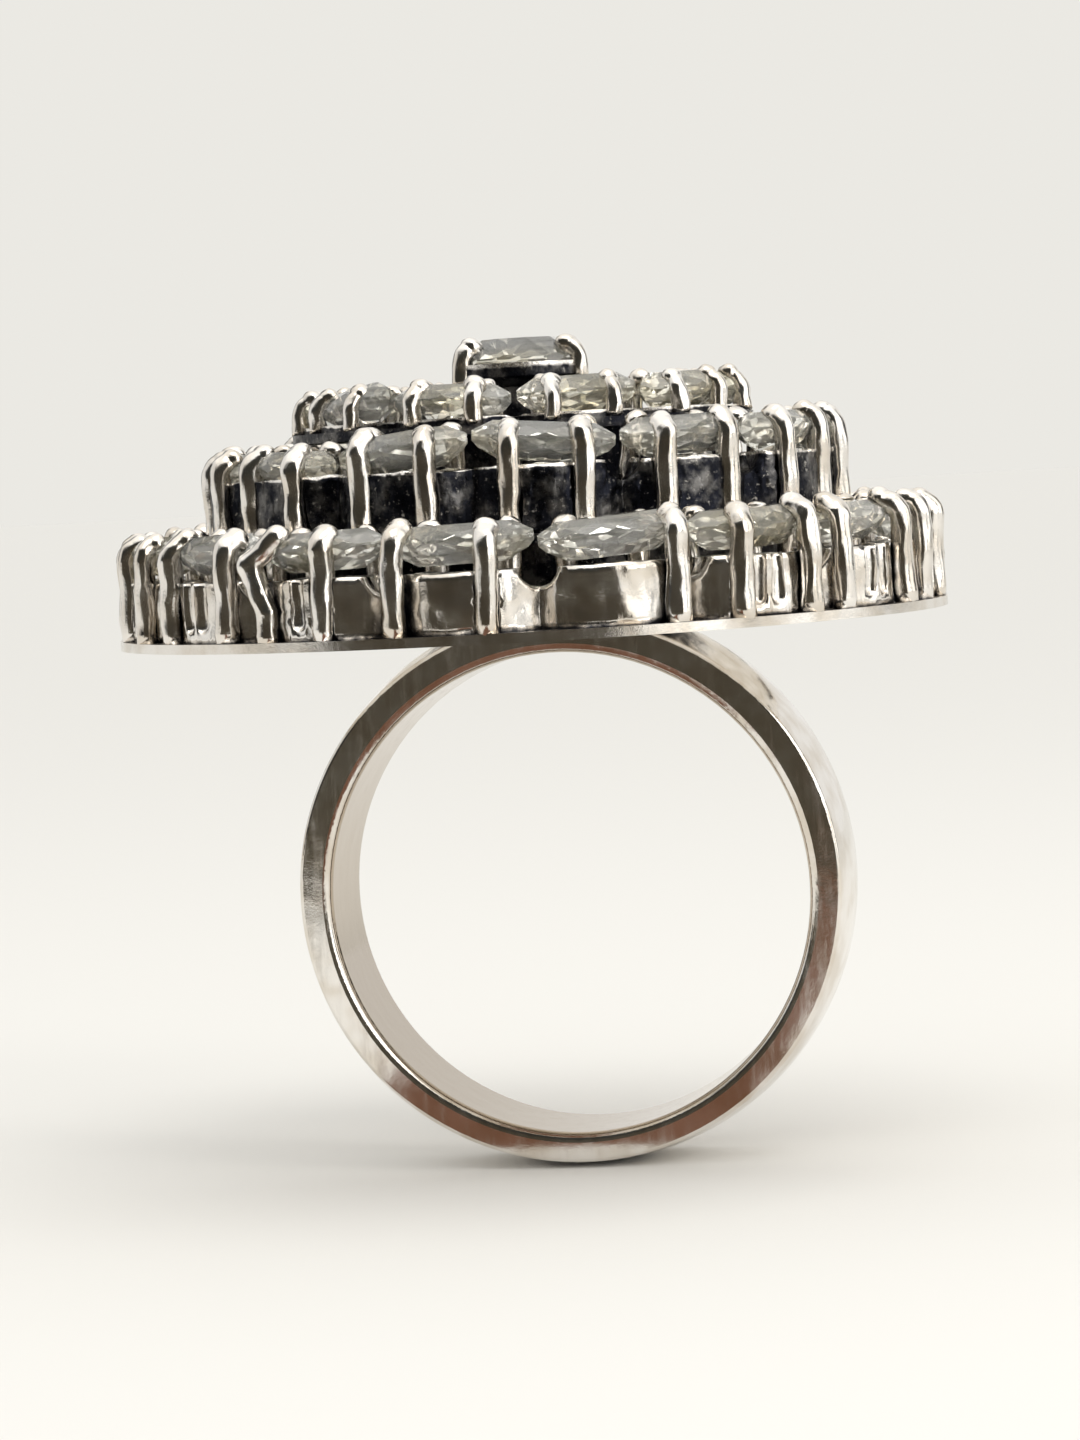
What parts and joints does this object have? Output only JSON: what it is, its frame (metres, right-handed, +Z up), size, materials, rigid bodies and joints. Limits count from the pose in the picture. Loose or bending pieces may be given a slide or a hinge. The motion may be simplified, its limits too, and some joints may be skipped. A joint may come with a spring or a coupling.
{
  "type": "cocktail ring",
  "caption": "Domed cluster ring: stacked rows of claw-set boat-shaped stones round a raised round stone, on a wide polished finger band.",
  "frame": {"origin": "centre of the finger bore", "axes": "+Z up through the head, +Y along the finger, +X to the wearer's right"},
  "size_m": [0.0313, 0.0312, 0.0314],
  "materials": {
    "shank_metal": "bright polished silver, lightly worn",
    "plate_metal": "polished silver rim, blackened face",
    "lower_gallery_metal": "polished silver walls, blackened recesses",
    "middle_gallery_metal": "rough cast silver, oxidised nearly black, bright top rim",
    "upper_gallery_metal": "rough cast silver, oxidised nearly black",
    "claw_metal": "bright polished silver wire, slightly rough",
    "collar_metal": "blackened silver",
    "collet_metal": "blackened silver",
    "stone": "faceted clear stone with a faint warm tint",
    "centre_stone": "faceted clear stone with a faint warm tint"
  },
  "bodies": {
    "root": {"shank": "shank_metal", "lower_plate": "plate_metal", "lower_gallery": "lower_gallery_metal", "lower_outer_claws": "claw_metal", "lower_inner_claws": "claw_metal", "lower_stone_01": "stone", "lower_stone_02": "stone", "lower_stone_03": "stone", "lower_stone_04": "stone", "lower_stone_05": "stone", "lower_stone_06": "stone", "lower_stone_07": "stone", "lower_stone_08": "stone", "lower_stone_09": "stone", "lower_stone_10": "stone", "lower_stone_11": "stone", "lower_stone_12": "stone", "lower_stone_13": "stone", "lower_stone_14": "stone", "lower_stone_15": "stone", "lower_stone_16": "stone", "lower_stone_17": "stone", "middle_plate": "plate_metal", "middle_gallery": "middle_gallery_metal", "middle_outer_claws": "claw_metal", "middle_inner_claws": "claw_metal", "middle_stone_01": "stone", "middle_stone_02": "stone", "middle_stone_03": "stone", "middle_stone_04": "stone", "middle_stone_05": "stone", "middle_stone_06": "stone", "middle_stone_07": "stone", "middle_stone_08": "stone", "middle_stone_09": "stone", "middle_stone_10": "stone", "middle_stone_11": "stone", "middle_stone_12": "stone", "middle_stone_13": "stone", "upper_plate": "plate_metal", "upper_gallery": "upper_gallery_metal", "upper_outer_claws": "claw_metal", "upper_inner_claws": "claw_metal", "upper_stone_01": "stone", "upper_stone_02": "stone", "upper_stone_03": "stone", "upper_stone_04": "stone", "upper_stone_05": "stone", "upper_stone_06": "stone", "upper_stone_07": "stone", "upper_stone_08": "stone", "upper_stone_09": "stone", "upper_stone_10": "stone", "middle_collar": "collar_metal", "upper_collar": "collar_metal", "crown_collar": "collar_metal", "crown_collet": "collet_metal", "crown_claws": "claw_metal", "centre_stone": "centre_stone"}
  },
  "joints": []
}
